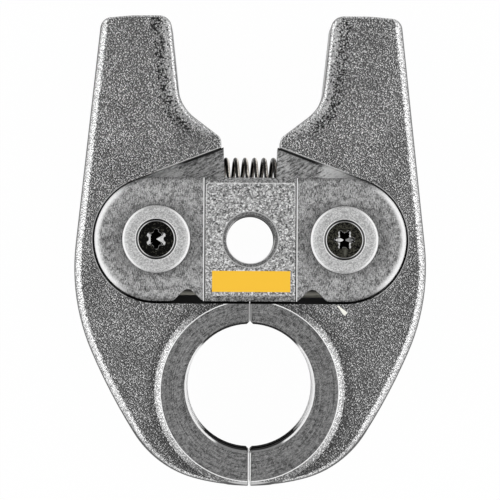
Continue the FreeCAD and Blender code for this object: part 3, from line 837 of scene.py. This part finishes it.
def discSteel():
    material, tree, shader = startFinish("discSteel")
    point, x, y = placed(tree)[:3]
    right, radius = aboutPivot(tree, x, y)
    turning = blendValue(tree, 0.5, lathed(tree, radius, disc["groove"], x, 0.02),
                         cloud(tree, point, 0.8, 3.0, 0.6))
    satin = blendValue(tree, 0.55, turning, speckle(tree, point, 0.25, 1.0))
    face = blendColour(tree, ramp(tree, satin, 0.15, 0.85), *disc["face"])
    across = maths(tree, "DIVIDE", maths(tree, "ABSOLUTE", right), radius)
    # painted highlights on the rim, the face and the countersink's edge, strongest at the sides, and
    # painted shade in the countersink
    rim = both(tree, maths(tree, "GREATER_THAN", radius, disc["rim"]),
               ramp(tree, across, 0.1, 0.9, 0.15, 1.0))
    faceHighlight = both(tree, ramp(tree, radius, disc["faceHighlightFrom"], disc["rim"], 0.0, 0.35),
                ramp(tree, across, 0.3, 1.0))
    lip = both(tree, within(tree, radius, disc["sink"], disc["sink"] + disc["lipWidth"]),
               ramp(tree, across, 0.2, 0.7, 0.25, 1.0))
    sunk = maths(tree, "LESS_THAN", radius, disc["sink"])
    colour = painted(tree, face, (faceHighlight, disc["bright"]), (rim, disc["bright"]), (lip, disc["lip"]),
                     (sunk, blendColour(tree, across, *disc["sunk"])))
    feed(tree, shader.inputs["Base Color"], colour)
    edges = maths(tree, "MAXIMUM", rim, lip)
    feed(tree, shader.inputs["Metallic"], blendValue(tree, edges, disc["metallic"], 0.0))
    shader.inputs["Roughness"].default_value = disc["roughness"]
    rounding = softEdge(tree, disc["edgeRadius"])
    feed(tree, shader.inputs["Normal"], relief(tree, satin, disc["bumpDepth"], rounding))
    return material


# black screws, dusty, with bare metal where the driver has rubbed the recess's edge, and painted
# highlights on the recess's lit facets and on the head's rim

screw = {
    "black": (0.0008, 0.0008, 0.0006, 1.0),
    "dust": (0.046, 0.045, 0.035, 1.0),
    "smear": (0.09, 0.09, 0.075, 1.0),  # dried oil below the right screw's recess
    "smearCentre": (0.4, -3.2),
    "smearRadius": (1.6, 2.6),
    "smearSqueeze": 2.2,  # how much narrower than high it is
    # painted highlight on the recess's lit facets and on the head's rim at the sides
    "bare": grey(0.8),
    "gloss": 0.06,  # specular level outside the recess
    "roughness": (0.35, 0.55),
    "bumpDepth": 0.02,
    "edgeRadius": 0.08,
    "headEdge": 4.7,
    "headFace": 13.93,
    "recessEdge": 2.75,
    "recessDark": grey(0.001),
    "recessLine": grey(0.5),
    "fanSlope": 0.6,  # the bright fan in the left screw's recess
    "strip": (-1.5, 1.3),  # the bright strip there, left of the first and lower than the second
    "lobe": (1.35, 0.5),  # middle and half width of the bright lobes in the right screw's recess
    "flank": (1.25, 0.7),  # bright flanks of the recess, further out and higher than this
}


def recessFacets(tree, left, right, high, toRight):
    # the faces in the screws' recesses that catch the light
    fan = maths(tree, "LESS_THAN", high, maths(tree, "MULTIPLY", right, screw["fanSlope"]))
    strip = both(tree, maths(tree, "LESS_THAN", right, screw["strip"][0]),
                 maths(tree, "LESS_THAN", high, screw["strip"][1]))
    aside = maths(tree, "ABSOLUTE", right)
    fromLobe = maths(tree, "SUBTRACT", aside, screw["lobe"][0])
    lobe = maths(tree, "MULTIPLY_ADD", maths(tree, "MULTIPLY", fromLobe, fromLobe), -0.4,
                 screw["lobe"][1])
    lobe = both(tree, maths(tree, "LESS_THAN", high, lobe), ramp(tree, right, -0.5, 0.5, 1.0, 0.4))
    flank = both(tree, ramp(tree, toRight, 0.45, 0.6),
                 maths(tree, "GREATER_THAN", high, screw["flank"][1]),
                 maths(tree, "GREATER_THAN", aside, screw["flank"][0]))
    facets = blendValue(tree, left, lobe, maths(tree, "MAXIMUM", fan, strip))
    return maths(tree, "MAXIMUM", facets, flank)


def blackScrew():
    material, tree, shader = startFinish("blackScrew")
    point, x, y, z = placed(tree)
    absZ = maths(tree, "ABSOLUTE", z)
    right, radius = aboutPivot(tree, x, y)
    toRight = maths(tree, "ABSOLUTE", facing(tree)[0])
    left = maths(tree, "LESS_THAN", x, 0.0)
    smudge = blendValue(tree, 0.4, cloud(tree, point, 0.7, 3.0, 0.65), speckle(tree, point, 0.25, 1.0))
    dusty = blendValue(tree, left, ramp(tree, smudge, 0.4, 0.62), ramp(tree, smudge, 0.62, 0.72))
    colour = blendColour(tree, dusty, screw["black"], screw["dust"])
    smear = distance2d(tree, maths(tree, "MULTIPLY", right, screw["smearSqueeze"]), y,
                       *screw["smearCentre"])
    smear = ramp(tree, maths(tree, "MULTIPLY_ADD", smudge, 2.5, smear), *screw["smearRadius"], 1.0, 0.0)
    colour = blendColour(tree, blendValue(tree, left, smear, 0.0), colour, screw["smear"])

    # painted highlight on the head's rim, at the sides
    across = maths(tree, "DIVIDE", maths(tree, "ABSOLUTE", right), radius)
    rim = both(tree, ramp(tree, radius, screw["headEdge"], screw["headEdge"] + 0.1),
               ramp(tree, across, 0.2, 0.7, 0.25, 1.0))
    socket = both(tree, maths(tree, "LESS_THAN", radius, screw["recessEdge"]),
                  maths(tree, "LESS_THAN", absZ, screw["headFace"]))
    lit = both(tree, socket, recessFacets(tree, left, right, maths(tree, "ABSOLUTE", y), toRight))
    line = both(tree, wornEdge(tree, 0.16), maths(tree, "LESS_THAN", radius, screw["recessEdge"] + 0.2),
                maths(tree, "GREATER_THAN", absZ, screw["headFace"] - 0.12),
                ramp(tree, cloud(tree, point, 0.9, 2.0, 0.6), 0.4, 0.55))
    colour = painted(tree, colour, (socket, screw["recessDark"]), (lit, screw["bare"]),
                     (line, screw["recessLine"]), (rim, screw["bare"]))
    feed(tree, shader.inputs["Base Color"], colour)
    shader.inputs["Metallic"].default_value = 0.0
    feed(tree, shader.inputs["Specular IOR Level"], blendValue(tree, socket, screw["gloss"], 0.0))
    feed(tree, shader.inputs["Roughness"], ramp(tree, smudge, 0.3, 0.7, *screw["roughness"]))
    rounding = softEdge(tree, screw["edgeRadius"])
    feed(tree, shader.inputs["Normal"], relief(tree, smudge, screw["bumpDepth"], rounding))
    return material


# ground pivot pins, hidden under the discs

pin = {
    "ground": (grey(0.45), grey(0.55)),
    "grinding": (1.5, 1.5, 0.15),  # size of the grinding marks along X, Y and Z
    "roughness": 0.25,
    "bumpDepth": 0.01,
}


def pinSteel():
    material, tree, shader = startFinish("pinSteel")
    grinding = cloud(tree, stretched(tree, placed(tree)[0], pin["grinding"]), 1.0, 2.0, 0.6)
    feed(tree, shader.inputs["Base Color"], blendColour(tree, grinding, *pin["ground"]))
    shader.inputs["Metallic"].default_value = 1.0
    shader.inputs["Roughness"].default_value = pin["roughness"]
    feed(tree, shader.inputs["Normal"], relief(tree, grinding, pin["bumpDepth"]))
    return material


discFinish, screwFinish, pinFinish = discSteel(), blackScrew(), pinSteel()
for side in ("left", "right"):
    dress(side + "_pivot_pin", pinFinish)
    for face in ("front", "back"):
        dress(face + "_" + side + "_disc", discFinish)
        dress(face + "_" + side + "_screw", screwFinish)
print("jaw: discs, screws and pins dressed")


# closing spring: two halves that meet in the middle

coil = {
    "wireRadius": 0.6,
    "pitch": 2.53,
    "stepsPerTurn": 40,
    "wireCorners": 14,
    "oil": (0.012, 0.01, 0.009, 1.0),  # settled in the windings
    # painted highlight on the flanks that face right
    "bare": (0.98, 0.91, 0.82, 1.0),
    "bareFrom": (0.12, 0.32),  # how far the wire faces right before its painted highlight
    "metallic": 0.4,
    "roughness": 0.3,
    "bumpDepth": 0.02,
}


def springWire():
    material, tree, shader = startFinish("springWire")
    toRight = facing(tree)[0]
    drawn = cloud(tree, placed(tree)[0], 0.6, 3.0, 0.6)
    # painted highlight on the flanks that face right; the wire is dark and oiled elsewhere
    rubbed = maths(tree, "MULTIPLY_ADD", maths(tree, "SUBTRACT", drawn, 0.5), 0.8, toRight)
    rubbed = ramp(tree, rubbed, *coil["bareFrom"])
    feed(tree, shader.inputs["Base Color"], blendColour(tree, rubbed, coil["oil"], coil["bare"]))
    shader.inputs["Metallic"].default_value = coil["metallic"]
    shader.inputs["Roughness"].default_value = coil["roughness"]
    feed(tree, shader.inputs["Normal"], relief(tree, drawn, coil["bumpDepth"]))
    return material


def springHalf(name, side):
    low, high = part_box("closing_spring")
    wireRadius = coil["wireRadius"] * mm
    middle = (low + high) / 2
    turnRadius = (high.y - low.y) / 2 - wireRadius
    halfLength = (high.x - low.x) / 2 - wireRadius
    turns = halfLength / (coil["pitch"] * mm)
    steps = math.ceil(turns * coil["stepsPerTurn"])
    # the winding starts at its highest point at the left end, and each half covers its own length
    startTurn = 0.0 if side < 0 else turns
    startX = -halfLength if side < 0 else 0.0
    slope = math.atan2(coil["pitch"] * mm, 2 * math.pi * turnRadius)
    points, faces = [], []
    for step in range(steps + 1):
        share = step / steps
        angle = 2 * math.pi * (startTurn + share * turns)
        outward = Vector((0, math.cos(angle), math.sin(angle)))
        centre = Vector((startX + share * halfLength, math.cos(angle) * turnRadius,
                         math.sin(angle) * turnRadius))
        forward = Vector((math.sin(slope), -math.sin(angle) * math.cos(slope),
                          math.cos(angle) * math.cos(slope)))
        sideways = forward.cross(outward)
        for corner in range(coil["wireCorners"]):
            around = 2 * math.pi * corner / coil["wireCorners"]
            offset = outward * math.cos(around) + sideways * math.sin(around)
            points.append(centre + offset * wireRadius + middle)
    count = coil["wireCorners"]
    for step in range(steps):
        for corner in range(count):
            here = step * count + corner
            beside = step * count + (corner + 1) % count
            faces.append((here, beside, beside + count, here + count))
    faces.append(tuple(reversed(range(count))))
    faces.append(tuple(range(steps * count, (steps + 1) * count)))
    mesh = bpy.data.meshes.new(name)
    mesh.from_pydata(points, [], faces)
    mesh.update()
    for face in mesh.polygons:
        face.use_smooth = len(face.vertices) == 4
    piece = bpy.data.objects.new(name, mesh)
    bpy.context.scene.collection.objects.link(piece)
    piece.data.materials.append(springFinish)
    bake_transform(piece)
    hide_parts("closing_spring")


springFinish = springWire()
springHalf("spring_left_half", -1)
springHalf("spring_right_half", 1)
print("jaw: spring wound")
